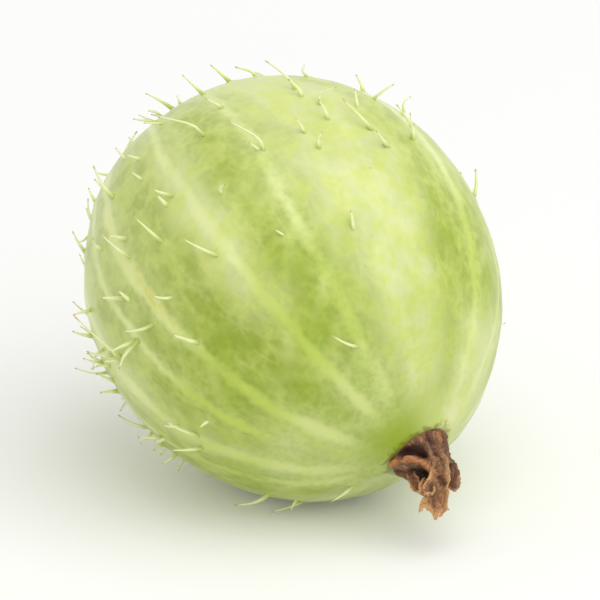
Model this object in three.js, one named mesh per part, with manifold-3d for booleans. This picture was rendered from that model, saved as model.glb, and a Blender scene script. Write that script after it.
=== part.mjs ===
// A ripe green gooseberry, as picked: one berry with its withered flower still on the lower end and the
// stump of its stalk on the upper end. It lies on a small flat spot, flower end down.
//
// Frame: millimetres, +Z up. The origin is the middle of the flat spot that the berry rests on. The berry's
// own axis lies in the X-Z plane, and the flower end points to +X and down.
// The bristles on the skin are far more than a part can hold as nodes, so they are not here.

import * as THREE from "three";
import { mergeVertices } from "three/addons/utils/BufferGeometryUtils.js";
import Module from "manifold-3d";

const wasm = await Module();
wasm.setup();

const { degToRad } = THREE.MathUtils;

// Driving dimensions, in millimetres and radians.
const BERRY_LENGTH = 25.3; // pole to pole, without the flower
const BERRY_WIDTH = 23;
const FULLNESS = 0.03; // how much wider the stalk half is than a plain ellipse
const TILT = degToRad(29); // the axis below the horizontal, at the flower end
const FLAT_DEPTH = 0.45; // how far the soft skin gives where it lies
const COLLAR_RISE = 0.35; // the skin swells up to meet the flower
const COLLAR_SPREAD = 1.9;
const DIMPLE_DEPTH = 0.45; // and sinks in round the stalk
const DIMPLE_SPREAD = 2.1;

const SEAT_GAP = 0.06; // clearance between two pieces that grew together
const TUBE_FOOT = 1.85; // radius where the floral tube sits on the berry
const TUBE_WAIST = 1.24;
const TUBE_RIM = 1.42;
const TUBE_LENGTH = 1.6;
const TUBE_WALL = 0.26;
const TUBE_FLOOR = 0.6; // thickness of the solid foot under the tube's hollow
const SEPAL_COUNT = 5;
const SEPAL_THICKNESS = 0.2;
const SEPAL_CUP = 0.16; // how far a sepal's edges fold inwards, as a share of its width
const STYLE_RADIUS = 0.13;
const DROOP_RADIUS = 8; // the whole withered flower sags along an arc of this radius
const DROOP_HEADING = degToRad(30); // and swings this far to the side while it does
const STUMP_RADIUS = 0.66;
const STUMP_LENGTH = 1.1;

// How fine the solids are: steps along the berry's outline and round it, and how far the outline's points
// are drawn towards the poles, where the collar and the dimple are.
const OUTLINE_STEPS = 30;
const ROUND_STEPS = 52;
const POLE_CROWDING = 0.28;

const halfLength = BERRY_LENGTH / 2;
const halfWidth = BERRY_WIDTH / 2;
const flowerPole = halfLength + COLLAR_RISE;
const stalkPole = -halfLength + DIMPLE_DEPTH;
const tubeFoot = flowerPole + SEAT_GAP;
const tubeRim = tubeFoot + TUBE_LENGTH;

const skinGreen = new THREE.MeshStandardMaterial({ color: 0xb9cc6a, roughness: 0.4, metalness: 0 });
const tubeBrown = new THREE.MeshStandardMaterial({ color: 0x5b3a29, roughness: 0.9, metalness: 0 });
const sepalBrown = new THREE.MeshStandardMaterial({ color: 0x9a6544, roughness: 0.85, metalness: 0 });
const styleBrown = new THREE.MeshStandardMaterial({ color: 0xb98a5c, roughness: 0.85, metalness: 0 });
const stalkGreen = new THREE.MeshStandardMaterial({ color: 0x8c9a4e, roughness: 0.7, metalness: 0 });

// A closed geometry as a solid that can be cut and joined.
function solidOf(geometry) {
  const bare = geometry.clone();
  bare.deleteAttribute("normal");
  bare.deleteAttribute("uv");
  const merged = mergeVertices(bare, 1e-4);
  return new wasm.Manifold(
    new wasm.Mesh({
      numProp: 3,
      vertProperties: merged.attributes.position.array,
      triVerts: new Uint32Array(merged.index.array),
    }),
  );
}

function geometryOf(solid) {
  const mesh = solid.getMesh();
  const geometry = new THREE.BufferGeometry();
  geometry.setAttribute("position", new THREE.BufferAttribute(mesh.vertProperties, 3));
  geometry.setIndex(new THREE.BufferAttribute(mesh.triVerts, 1));
  return geometry;
}

// Moves every vertex of a geometry to where a function of its position puts it.
function reshape(geometry, move) {
  const position = geometry.getAttribute("position");
  const point = new THREE.Vector3();
  for (let i = 0; i < position.count; i += 1) {
    point.fromBufferAttribute(position, i);
    move(point);
    position.setXYZ(i, point.x, point.y, point.z);
  }
  return geometry;
}

function namedMesh(name, geometry, material) {
  const mesh = new THREE.Mesh(geometry, material);
  mesh.name = name;
  return mesh;
}

// The collar and the dimple are both highest on the axis and die away with the distance from it.
const collar = (radius) => COLLAR_RISE * Math.exp(-((radius / COLLAR_SPREAD) ** 2));
const dimple = (radius) => DIMPLE_DEPTH * Math.exp(-((radius / DIMPLE_SPREAD) ** 2));

// The berry's outline from the stalk pole to the flower pole, as (radius, distance along the axis).
function berryOutline() {
  const points = [];
  for (let i = 0; i <= OUTLINE_STEPS; i += 1) {
    const share = i / OUTLINE_STEPS;
    const turn = Math.PI * share - POLE_CROWDING * Math.sin(2 * Math.PI * share);
    const along = -Math.cos(turn);
    const radius = halfWidth * Math.sin(turn) * (1 - FULLNESS * along);
    const lift = along > 0 ? collar(radius) : dimple(radius);
    const atPole = i === 0 || i === OUTLINE_STEPS;
    points.push(new THREE.Vector2(atPole ? 0 : radius, along * halfLength + lift));
  }
  return points;
}

// The axis group turns a lathe's own Y axis onto the berry's axis: first to +X, then down by the tilt. It is
// placed so that the berry's lowest point is over the origin, sunk by the depth of the flat spot.
const reach = Math.hypot(halfLength * Math.sin(TILT), halfWidth * Math.cos(TILT));
const footShift = ((halfLength ** 2 - halfWidth ** 2) * Math.sin(TILT) * Math.cos(TILT)) / reach;
const tilted = new THREE.Group();
tilted.position.set(-footShift, 0, reach - FLAT_DEPTH);
tilted.rotation.y = TILT;
const axis = new THREE.Group();
axis.rotation.z = -Math.PI / 2;
tilted.add(axis);
tilted.updateMatrixWorld(true);

// The berry is turned first and then cut level, so its flat spot lies exactly on the floor.
function makeBerry() {
  const round = new THREE.LatheGeometry(berryOutline(), ROUND_STEPS).applyMatrix4(axis.matrixWorld);
  const below = new THREE.BoxGeometry(BERRY_LENGTH, BERRY_LENGTH, halfWidth).translate(0, 0, -halfWidth / 2);
  return namedMesh("berry", geometryOf(solidOf(round).subtract(solidOf(below))), skinGreen);
}

// The withered flower hangs: what stands above the tube's foot is bent round an arc towards one side.
function droop(point) {
  const height = point.y - tubeFoot;
  if (height <= 0) return;
  const sideX = Math.sin(DROOP_HEADING);
  const sideZ = -Math.cos(DROOP_HEADING);
  const offset = point.x * sideX + point.z * sideZ;
  const turn = height / DROOP_RADIUS;
  const radius = DROOP_RADIUS - offset;
  const moved = DROOP_RADIUS - radius * Math.cos(turn) - offset;
  point.set(point.x + moved * sideX, tubeFoot + radius * Math.sin(turn), point.z + moved * sideZ);
}

// The floral tube is a small cup with a solid foot, a waist and a rim that opens a little. Its base is
// hollowed to the curve of the berry's collar.
function makeTube() {
  const base = [0, 0.35, 0.7, 1].map((share) => {
    const radius = share * TUBE_FOOT;
    const skin = halfLength * Math.sqrt(1 - (radius / halfWidth) ** 2) + collar(radius);
    return [radius, skin - flowerPole];
  });
  const outside = [
    [TUBE_FOOT * 0.93, TUBE_LENGTH * 0.12],
    [TUBE_WAIST * 1.1, TUBE_LENGTH * 0.4],
    [TUBE_WAIST, TUBE_LENGTH * 0.65],
    [TUBE_RIM, TUBE_LENGTH],
  ];
  const inside = [
    [TUBE_RIM - TUBE_WALL, TUBE_LENGTH],
    [TUBE_WAIST - TUBE_WALL, TUBE_LENGTH * 0.65],
    [TUBE_WAIST - TUBE_WALL * 1.6, TUBE_FLOOR],
    [0, TUBE_FLOOR],
  ];
  const outline = [...base, ...outside, ...inside].map(([x, y]) => new THREE.Vector2(x, tubeFoot + y));
  return namedMesh("floral_tube", reshape(new THREE.LatheGeometry(outline, 24), droop), tubeBrown);
}

// One entry for each sepal, in order round the rim: its length and width, how far it leans out from the
// flower's axis where it starts, and how far it has curled inwards and twisted by its tip, in degrees.
const sepalShapes = [
  { length: 2.3, width: 1.75, lean: 20, curl: 70, twist: 10 },
  { length: 2.7, width: 1.6, lean: 10, curl: 34, twist: -12 },
  { length: 2.9, width: 1.7, lean: 8, curl: 18, twist: 10 },
  { length: 2.4, width: 1.6, lean: 14, curl: 46, twist: -12 },
  { length: 2.5, width: 1.6, lean: 62, curl: 170, twist: 6 },
];

// A sepal's width along its length, as a share of its full width: broad in the middle, pointed at the tip.
function sepalOutline(share) {
  const bulge = Math.sin(Math.PI * Math.min(1, 1.25 * share));
  return 0.62 + 0.38 * bulge - 0.42 * share ** 3;
}

// A sepal starts as a thin flat strip. It is cut to its outline, cupped and twisted, then curled on an arc.
function sepalGeometry({ length, width, lean, curl, twist }) {
  const strip = new THREE.BoxGeometry(width, length, SEPAL_THICKNESS, 4, 12, 1).translate(0, length / 2, 0);
  const start = degToRad(lean);
  const bend = degToRad(curl);
  const arcRadius = length / bend;
  return reshape(strip, (point) => {
    const share = point.y / length;
    const across = point.x * sepalOutline(share);
    const outwards = point.z - (SEPAL_CUP * across ** 2) / width;
    const turned = degToRad(twist) * share;
    const lifted = across * Math.sin(turned) + outwards * Math.cos(turned);
    const angle = start - bend * share;
    point.x = across * Math.cos(turned) - outwards * Math.sin(turned);
    point.y = arcRadius * (Math.sin(start) - Math.sin(angle)) - lifted * Math.sin(angle);
    point.z = arcRadius * (Math.cos(angle) - Math.cos(start)) + lifted * Math.cos(angle);
  });
}

function makeSepal(shape, index) {
  const geometry = sepalGeometry(shape)
    .translate(0, tubeRim + SEAT_GAP, TUBE_RIM - TUBE_WALL / 2)
    .rotateY((2 * Math.PI * index) / SEPAL_COUNT);
  return namedMesh(`sepal_${index + 1}`, reshape(geometry, droop), sepalBrown);
}

// A thread of round section along a smooth curve through the given points, heights from the tube's foot.
function thread(points) {
  const path = new THREE.CatmullRomCurve3(points.map(([x, y, z]) => new THREE.Vector3(x, tubeFoot + y, z)));
  const section = new THREE.Shape().absarc(0, 0, STYLE_RADIUS, 0, 2 * Math.PI);
  const sweep = { extrudePath: path, steps: 10, curveSegments: 8, bevelEnabled: false };
  return new THREE.ExtrudeGeometry(section, sweep);
}

// The dried style stands on the tube's floor and parts into two lobes above the rim.
function makeStyle() {
  const stem = [
    [0, TUBE_FLOOR + SEAT_GAP, 0],
    [0.04, TUBE_LENGTH * 0.8, 0.03],
  ];
  const left = thread([...stem, [-0.1, 2.2, 0.02], [-0.26, 2.8, -0.06]]);
  const right = thread([...stem, [0.16, 2.2, 0.04], [0.32, 2.7, 0.1]]);
  const joined = geometryOf(solidOf(left).add(solidOf(right)));
  return namedMesh("style", reshape(joined, droop), styleBrown);
}

// The stalk broke off close to the berry and left a short stump in the dimple.
function makeStump() {
  const outline = [
    [0, -STUMP_LENGTH],
    [STUMP_RADIUS * 0.62, -STUMP_LENGTH],
    [STUMP_RADIUS * 0.76, -STUMP_LENGTH * 0.88],
    [STUMP_RADIUS * 0.8, -STUMP_LENGTH * 0.35],
    [STUMP_RADIUS, 0],
    [0, 0],
  ];
  const points = outline.map(([radius, height]) => new THREE.Vector2(radius, stalkPole - SEAT_GAP + height));
  return namedMesh("stalk_stump", new THREE.LatheGeometry(points, 20), stalkGreen);
}

axis.add(makeTube(), ...sepalShapes.map(makeSepal), makeStyle(), makeStump());

const gooseberry = new THREE.Group();
gooseberry.add(makeBerry(), tilted);

export default gooseberry;
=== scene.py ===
# %% [markdown]
# # A green gooseberry, as picked
# A gooseberry is one round berry with a thin, waxy skin that light gets into. Pale veins run from end to
# end under the skin, and soft bristles stand on it. One end still holds the withered flower, the other the
# stump of the stalk. The CAD solids give each piece its place and size, and here each of them is replaced by
# a fine surface that is worked out with numpy, in the same frame, in metres with +Z up.

import bpy
import numpy as np
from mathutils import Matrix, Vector


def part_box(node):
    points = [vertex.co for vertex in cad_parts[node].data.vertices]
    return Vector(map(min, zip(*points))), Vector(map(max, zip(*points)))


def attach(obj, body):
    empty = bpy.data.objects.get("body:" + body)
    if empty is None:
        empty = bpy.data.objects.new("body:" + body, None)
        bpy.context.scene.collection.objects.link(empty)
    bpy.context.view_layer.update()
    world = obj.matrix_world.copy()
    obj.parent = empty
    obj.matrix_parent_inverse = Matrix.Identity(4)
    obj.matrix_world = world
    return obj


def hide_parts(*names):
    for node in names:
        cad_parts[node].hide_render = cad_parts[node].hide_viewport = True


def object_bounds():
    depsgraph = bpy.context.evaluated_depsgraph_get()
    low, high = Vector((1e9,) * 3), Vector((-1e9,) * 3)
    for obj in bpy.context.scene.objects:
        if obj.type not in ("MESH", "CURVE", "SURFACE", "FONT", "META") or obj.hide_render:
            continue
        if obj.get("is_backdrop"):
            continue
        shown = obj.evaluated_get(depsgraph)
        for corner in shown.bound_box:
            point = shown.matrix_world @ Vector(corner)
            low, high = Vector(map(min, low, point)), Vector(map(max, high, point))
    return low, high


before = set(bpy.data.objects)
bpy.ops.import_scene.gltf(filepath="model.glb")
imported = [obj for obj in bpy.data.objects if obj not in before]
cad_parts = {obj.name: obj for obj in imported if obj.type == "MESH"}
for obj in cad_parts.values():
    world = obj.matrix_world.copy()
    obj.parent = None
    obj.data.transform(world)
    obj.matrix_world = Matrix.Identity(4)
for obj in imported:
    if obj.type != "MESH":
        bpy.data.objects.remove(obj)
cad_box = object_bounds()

print("CAD nodes:", sorted(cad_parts))

# %% [markdown]
# ## Sizes
# Shapes are worked out in millimetres, as a berry is measured, and turned to metres when a mesh is made. The
# berry's axis is tilted, so they are drawn in the berry's frame first: **across** it, **along** it towards
# the flower, and **raised** at right angles to both. One function takes them to the row's frame, where the
# berry lies on a flat spot at the origin.

# %% The berry's sizes and its frame
MM = 0.001
BERRY_LENGTH = 25.3
BERRY_WIDTH = 23.0
FULLNESS = 0.03  # how much wider the stalk half is than a plain ellipse
TILT = np.radians(29)
FLAT_DEPTH = 0.45
COLLAR_RISE, COLLAR_SPREAD = 0.35, 1.9  # the swelling round the flower
DIMPLE_DEPTH, DIMPLE_SPREAD = 0.45, 2.1  # the hollow round the stalk

half_length, half_width = BERRY_LENGTH / 2, BERRY_WIDTH / 2
reach = np.hypot(half_length * np.sin(TILT), half_width * np.cos(TILT))
foot_shift = (half_length**2 - half_width**2) * np.sin(TILT) * np.cos(TILT) / reach
berry_centre = np.array([-foot_shift, 0, reach - FLAT_DEPTH])
berry_axes = np.array(
    [
        [0, -1, 0],  # across
        [np.cos(TILT), 0, -np.sin(TILT)],  # along, towards the flower
        [np.sin(TILT), 0, np.cos(TILT)],  # raised
    ]
)


def to_row(points):
    """Points (across, along, raised) in mm, taken to the row's frame: centre + points x axes."""
    return berry_centre + points @ berry_axes


low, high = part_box("berry")
print("berry's CAD box in mm:", [round((b - a) / MM, 1) for a, b in zip(low, high)])

# %% [markdown]
# ## One way to make every mesh
# Each piece is a closed skin over a stack of rings, like a paper lantern: a grid of points (ring, step round,
# xyz), which numpy moves all at once. The two open ends are closed either by one pole point or by zipping the
# two halves of the end ring together. Faces that enclose a negative volume face inwards, and are turned
# round. What a material has to know about a place of the skin is kept on the mesh as a **field**: one number,
# or one vector, for each point.


# %% From points and faces to a piece
def signed_volume(points, faces):
    """The volume inside the faces, summed over the tetrahedra from the origin to the triangles of each face:
    a . (b x c) / 6. It is negative if the faces are inside out."""
    fans = [(f[0], f[k], f[k + 1]) for f in faces for k in range(1, len(f) - 1)]
    a, b, c = points[np.array(fans)].transpose(1, 0, 2)
    return np.einsum("ij,ij->", a, np.cross(b, c)) / 6


def new_piece(name, points, faces, fields):
    """A smooth mesh object over points in mm. Its faces are turned outwards, and it keeps the fields."""
    if signed_volume(points, faces) < 0:
        faces = [face[::-1] for face in faces]
    mesh = bpy.data.meshes.new(name)
    mesh.from_pydata((points * MM).tolist(), [], faces)
    mesh.shade_smooth()
    for key, values in fields.items():
        kind, slot = ("FLOAT_VECTOR", "vector") if values.shape[-1] == 3 else ("FLOAT", "value")
        mesh.attributes.new(key, kind, "POINT").data.foreach_set(slot, values.ravel().astype(np.float32))
    piece = bpy.data.objects.new(name, mesh)
    bpy.context.scene.collection.objects.link(piece)
    print(f"{name}: {len(points)} points, {len(faces)} faces")
    return piece


# %% From rings of points to a closed skin
def ring_faces(rings, steps):
    """Quads between each ring and the next: corner (i, j) joins (i, j+1), (i+1, j+1) and (i+1, j)."""
    i, j = np.meshgrid(np.arange(rings - 1), np.arange(steps), indexing="ij")
    k = (j + 1) % steps
    corners = [i * steps + j, i * steps + k, (i + 1) * steps + k, (i + 1) * steps + j]
    return np.stack(corners, -1).reshape(-1, 4)


def end_caps(rings, steps, poles):
    """The faces that close both ends: a fan to a pole point, or quads that zip one half to the other."""
    last = (rings - 1) * steps
    if poles:
        j = np.arange(steps)
        first_pole = rings * steps
        fan = np.stack([(j + 1) % steps, j, np.full(steps, first_pole)], -1)
        back = np.stack([last + j, last + (j + 1) % steps, np.full(steps, first_pole + 1)], -1)
        return fan.tolist() + back.tolist()
    j = np.arange(steps // 2 - 1)
    zipped = np.stack([j + 1, j, steps - 1 - j, steps - 2 - j], -1)
    return zipped.tolist() + (last + zipped[:, ::-1]).tolist()


def closed_skin(name, grid, fields, poles=True):
    """A piece over a (rings, steps, 3) grid in mm in the row's frame, with fields of (rings, steps) values. A
    pole is the mean of its end ring, and so is each of its values."""
    rings, steps = grid.shape[:2]

    def listed(values):
        values = values.reshape(rings, steps, -1)
        ends = [values[0].mean(0), values[-1].mean(0)] if poles else np.empty((0, values.shape[-1]))
        return np.vstack([values.reshape(rings * steps, -1), ends])

    faces = ring_faces(rings, steps).tolist() + end_caps(rings, steps, poles)
    return new_piece(name, listed(grid), faces, {key: listed(values) for key, values in fields.items()})


# %% [markdown]
# ## Randomness that stays the same
# Nothing grown is even. A sum of many plane waves with random directions is a smooth uneven field that has
# no seam and comes out the same each run, because its seed is given. The other curve that comes up
# everywhere is a smooth step, for whatever fades in or out along the berry.


# %% A smooth random field and smooth steps
def waves(points, wavelength, seed, count=20):
    """Sum of plane waves of about one wavelength in mm, each with a random direction and phase, over the root
    of their number: mostly -1 to 1."""
    draw = np.random.default_rng(seed)
    direction = draw.normal(size=(3, count))
    direction /= np.linalg.norm(direction, axis=0)
    pace = 2 * np.pi / (wavelength * draw.uniform(0.7, 1.5, count))
    return np.sin(points @ (direction * pace) + draw.uniform(0, 2 * np.pi, count)).sum(-1) / np.sqrt(count)


def rise(value, start, end):
    """0 below start, 1 above end, and a smooth S between: 3t^2 - 2t^3 of the share t of the way."""
    share = np.clip((value - start) / (end - start), 0, 1)
    return share * share * (3 - 2 * share)


def between(value, start, end, low, high):
    """The same S, from low below start to high above end."""
    return low + (high - low) * rise(value, start, end)


# %% [markdown]
# ## The berry's shape
# The berry is an ellipse turned about its axis, a little fuller at the stalk end. The skin swells up to a
# low collar round the flower and sinks into a dimple round the stalk. A ripe berry is soft, so it settles on
# a flat spot whose edge has no crease: heights near the floor go through a smooth maximum with zero.

# %% A point of the skin for any turn and heading
SETTLE = 0.22  # how softly the flat spot blends into the round skin


def settled(height):
    """Smooth maximum of a height and 0: the mean of it and the root of its square plus SETTLE squared, less
    what that comes to at the lowest point, so that the flat spot touches the floor."""
    foot = (-FLAT_DEPTH + np.hypot(FLAT_DEPTH, SETTLE)) / 2
    return (height + np.hypot(height, SETTLE)) / 2 - foot


def skin(turn, heading):
    """Skin points in the row's frame. turn goes from 0 at the flower to pi at the stalk; heading goes round,
    from 0 on the raised side. Radius = half width x sin(turn), with the fuller end; height = half length x
    cos(turn), plus a bell curve of the radius at each end."""
    along = np.cos(turn)
    radius = half_width * np.sin(turn) * (1 - FULLNESS * along)
    collar = COLLAR_RISE * np.exp(-((radius / COLLAR_SPREAD) ** 2))
    dimple = DIMPLE_DEPTH * np.exp(-((radius / DIMPLE_SPREAD) ** 2))
    height = half_length * along + np.where(along > 0, collar, dimple)
    points = to_row(np.stack([radius * np.sin(heading), height, radius * np.cos(heading)], -1))
    points[..., 2] = settled(points[..., 2])
    return points


print("flower end, in mm:", skin(0.0, 0.0).round(2), "stalk end:", skin(np.pi, 0.0).round(2))

# %% [markdown]
# ## Veins under the skin
# The pale lines are bundles of vessels that run from the stalk to the flower just under the skin, about a
# dozen strong ones with finer ones between. A vein is a line of nearly constant heading that drifts a little,
# and its strength falls off as a bell curve of the distance from that line. The flesh scatters light, so each
# sharp core has a wide faint halo. A smooth random field pushes the lines about by a fraction of a millimetre
# and makes them fade and swell.

# %% The veins
# Each vein: heading at the widest place and how far it has drifted at the flower, both in degrees; the turn
# where it starts, in degrees; its strength; and the half width of its core, in mm. Seven of the headings,
# 107, 89, 76, 48, 26, 11 and -31, started from measurements, and the rest were placed one by one.
VEINS = np.array([
    (107, 0, 0, 1.00, 0.60),
    (89, 3, 40, 0.85, 0.40),
    (76, 0, 0, 1.00, 0.50),
    (61, 3, 62, 0.30, 0.32),
    (48, 1, 0, 0.92, 0.40),
    (40, 0, 70, 0.25, 0.30),
    (26, 12, 0, 0.70, 0.46),
    (11, 4, 8, 0.40, 0.55),
    (-2, 0, 30, 0.30, 0.50),
    (-31, 2, 0, 0.75, 0.55),
    (-57, 8, 0, 0.80, 0.42),
    (-79, -5, 0, 0.95, 0.46),
    (-93, 2, 42, 0.45, 0.32),
    (-106, 7, 0, 0.85, 0.44),
    (-131, -6, 0, 0.95, 0.48),
    (-147, 3, 52, 0.35, 0.34),
    (-159, 6, 0, 0.80, 0.42),
    (175, -7, 0, 0.95, 0.46),
    (160, 2, 44, 0.40, 0.32),
    (147, 5, 0, 0.85, 0.46),
    (124, -5, 0, 0.80, 0.42),
    (112, 3, 60, 0.30, 0.32),
])

# Broad pale bands, partly the flesh's milkiness and partly painted light. The first, at heading 3, is partly
# a painted highlight where the lamp's broad gloss falls, and those at headings 87 and -20, near the flower,
# are painted light that lifts the shaded skin there. Each: heading, drift, the turn of the middle, how far
# they reach along from it and their strength, then the half width; all angles in degrees.
SWATHES = np.array([
    (3, 7, 80, 72, 0.72, 17.5),
    (-40, -4, 26, 18, 0.55, 28),
    (49, 0, 94, 28, 0.62, 8),
    (-20, 0, 12, 9, 0.55, 55),
    (87, 0, 30, 16, 0.30, 12),
    (106, 0, 78, 60, 0.35, 8),
    (150, 0, 70, 60, 0.45, 13),
    (-110, 4, 85, 60, 0.55, 12),
    (-160, 0, 40, 40, 0.40, 14),
])

# Small blushes where the skin has chafed and turned yellow: heading, turn, and the half sizes round the
# berry and along it, in degrees.
BLUSHES = np.array([(75, 92, 1.9, 8), (-126, 104, 4, 3), (158, 62, 2, 6)])
from_stalk_on = VEINS[:, 2] == 0
print("veins:", len(VEINS), "of which", from_stalk_on.sum(), "run from end to end")


# %% How strong the veins are at each place of the skin
def gap_to(heading, middle):
    """The angle from a middle to a heading in degrees, the short way round: -180 to 180."""
    return (heading - middle + 180) % 360 - 180


def across_veins(turn, heading, points):
    """Signed distance in mm from each place to each vein's line, as an array of veins x places: the gap in
    heading, times the radius there, plus a wander that is the same smooth field for all of them."""
    around, drift = (column[:, None, None] for column in VEINS.T[:2])
    gap = np.radians(gap_to(np.degrees(heading), around + drift * (1 - turn / (np.pi / 2))))
    wander = 0.1 * waves(points, 5.5, 31) + 0.05 * waves(points, 1.6, 32)
    return gap * half_width * np.sin(turn) + wander


def vein_strength(turn, apart, points):
    """Cores and halos, each 1 on a vein and 0 away from all. A core is exp(-|distance / width|^2.4), which
    has a flatter top than a bell curve; a halo is a bell curve 3 times as wide. The veins are put together
    as 1 minus the product of 1 minus each, so that two that meet don't add up."""
    start, strength, width = (column[:, None, None] for column in VEINS.T[2:])
    width = width * (1 + 0.16 * waves(points, 2.4, 33))
    fade = strength * rise(np.degrees(turn), start - 8, start + 14) * (0.88 + 0.12 * waves(points, 4.0, 34))
    core = np.exp(-(np.abs(apart / width) ** 2.4))
    halo = np.exp(-((apart / (3.0 * width)) ** 2))
    return [1 - np.prod(1 - np.clip(fade * part, 0, 1), axis=0) for part in (core, halo)]


def side_veinlets(turn, apart, seed=9, each=16):
    """Faint veinlets that leave the strong veins at a slant and fade out in the flesh. Next to its vein, a
    veinlet is the line where the distance across is slope x length + bend x length squared."""
    draw = np.random.default_rng(seed)
    clear = np.ones(turn.shape)
    for vein in np.flatnonzero(from_stalk_on):
        root = draw.uniform(0.5, 2.6, each)[:, None, None]
        side, way = draw.choice([-1.0, 1.0], (2, each, 1, 1))
        slope, bend = draw.uniform(0.5, 1.3, (each, 1, 1)), draw.uniform(-0.12, 0.05, (each, 1, 1))
        reach_out = draw.uniform(1.6, 4.2, (each, 1, 1))
        length = (turn - root) * way * half_width
        off_line = (apart[vein] - side * (slope * length + bend * length**2)) / np.hypot(1, slope)
        fade = rise(length, 0.0, 0.3) * (1 - rise(length, 0.4 * reach_out, reach_out))
        clear *= np.prod(1 - 0.25 * fade * np.exp(-((off_line / 0.3) ** 2)), axis=0)
    return 1 - clear


# %% Milky bands and blushes
def pale_swathes(turn, heading, points):
    """Broad pale bands, 0 to 1, partly the flesh's milkiness and partly painted highlight and painted light.
    Each is a flat-topped bell exp(-|gap|^3) across, where the gap is the angle from its middle over its half
    width, times a bell along it; a smooth field frays them all."""
    middle, drift, along, reach_out, strength, width = (column[:, None, None] for column in SWATHES.T)
    across = gap_to(np.degrees(heading), middle + drift * (1 - turn / (np.pi / 2)))
    across += 2.0 * waves(points, 3.5, 35)
    bands = np.exp(-(np.abs(across / width) ** 3) - ((np.degrees(turn) - along) / reach_out) ** 4)
    return 1 - np.prod(1 - strength * bands, axis=0)


def chafed(turn, heading, points):
    """Blushes, 0 to 1: the largest of bell curves round their places, frayed by a smooth field."""
    middle, down, half_round, half_along = (column[:, None, None] for column in BLUSHES.T)
    gap = gap_to(np.degrees(heading), middle)
    bells = np.exp(-((gap / half_round) ** 2) - ((np.degrees(turn) - down) / half_along) ** 2)
    return bells.max(0) * np.clip(0.7 + 0.5 * waves(points, 0.5, 36), 0, 1)


# %% [markdown]
# ## Where the bristles stand
# Soft bristles stand on the skin, closer together on the stalk half and on one flank, and hardly any near
# the flower. Their places come before the skin's mesh, because each one rises from a small mound that is
# painted pale, partly its own colour and partly painted light over the shade at its root. Points are tried
# evenly all over the berry, which is evenly in the cosine of the turn, and a random draw keeps those that
# win against the crowding wanted there.

# %% Choose the roots of the bristles
TRIED = 900
FEWEST, STALK_HALF, FLANK = 0.02, 0.26, 0.26  # crowding everywhere, and what two places add to it
FLANK_HEADING, FLANK_SPREAD = 128, 40  # degrees
LOWEST_ROOT = 0.35  # mm over the floor
draw = np.random.default_rng(41)
root_turn = np.arccos(draw.uniform(-1, 1, TRIED))
root_heading = draw.uniform(-np.pi, np.pi, TRIED)
roots = skin(root_turn, root_heading)
crowding = between(np.degrees(root_turn), 50, 118, FEWEST, FEWEST + STALK_HALF) + 0.05 * waves(roots, 8.0, 5)
crowding += FLANK * np.exp(-(((np.degrees(root_heading) - FLANK_HEADING) / FLANK_SPREAD) ** 2))
clear_of_ends = (np.degrees(root_turn) > 17) & (np.degrees(root_turn) < 168)
kept = (draw.uniform(0, 1, TRIED) < crowding) & (roots[:, 2] > LOWEST_ROOT) & clear_of_ends
roots, root_turn, root_heading = roots[kept], root_turn[kept], root_heading[kept]
count = len(roots)
print("bristles:", count)


def mound(points, size=0.3):
    """1 at the nearest root and 0 away from all: a bell curve of the distance to it."""
    nearest = np.full(points.shape[:2], np.inf)
    for root in roots:
        np.minimum(nearest, ((points - root) ** 2).sum(-1), out=nearest)
    return np.exp(-nearest / size**2)


# %% [markdown]
# ## The berry's surface
# 250 rings of 380 points put 0.15 to 0.19 mm between neighbours, so a vein nearly 1 mm wide has five or six
# points across it. The veins lie in shallow furrows of a few hundredths of a millimetre, and the skin
# between them swells a little, which keeps the soft reflections from looking like those of a glass ball.

# %% Swell and furrow the skin
RINGS, STEPS = 250, 380
FURROW, MOUND, LIP = 0.03, 0.08, 0.12  # mm: along a vein, under a bristle, and round the flower's foot
LIP_RADIUS, LIP_SPREAD = 2.15, 0.5  # mm from the axis, and to either side of that
turns = np.linspace(0, np.pi, RINGS + 2)[1:-1, None]
headings = np.linspace(-np.pi, np.pi, STEPS, endpoint=False)[None, :]
turns, headings = np.broadcast_arrays(turns, headings)

surface = skin(turns, headings)
apart = across_veins(turns, headings, surface)
vein, halo = vein_strength(turns, apart, surface)
swathe = pale_swathes(turns, headings, surface)
blush = chafed(turns, headings, surface)
veinlet = side_veinlets(turns, apart)
root_mound = mound(surface)

outward = surface - berry_centre
outward /= np.linalg.norm(outward, axis=-1, keepdims=True)
lip = LIP * np.exp(-(((half_width * np.sin(turns) - LIP_RADIUS) / LIP_SPREAD) ** 2))
lip = np.where(turns < np.pi / 2, lip, 0)
swell = 0.07 * waves(surface, 9.0, 11) + 0.018 * waves(surface, 2.6, 12)
swell += MOUND * root_mound - FURROW * vein + lip
free = rise(surface[..., 2], 0.1, 1.5)  # the flat spot stays flat
surface = surface + outward * (swell * free)[..., None]
print("swelling in mm:", (swell * free).min().round(3), "to", (swell * free).max().round(3))

# %% [markdown]
# ## Colour and nodes
# Colours are written as sRGB hex values, as one reads them off a screen, and one function turns them to the
# linear numbers that a shader wants. One more function adds a node of any kind, sets it up and links it. The
# settings that come up again and again have names: a smooth step, a product, a sum, and a coat of colour.


# %% Helpers for materials
def colour(hexed):
    """sRGB hex to linear RGBA: c / 12.92 up to 0.04045, else ((c + 0.055) / 1.055)^2.4."""
    c = np.array([int(hexed[i : i + 2], 16) for i in (1, 3, 5)]) / 255
    linear = np.where(c <= 0.04045, c / 12.92, ((c + 0.055) / 1.055) ** 2.4)
    return (*linear.tolist(), 1.0)


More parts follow.
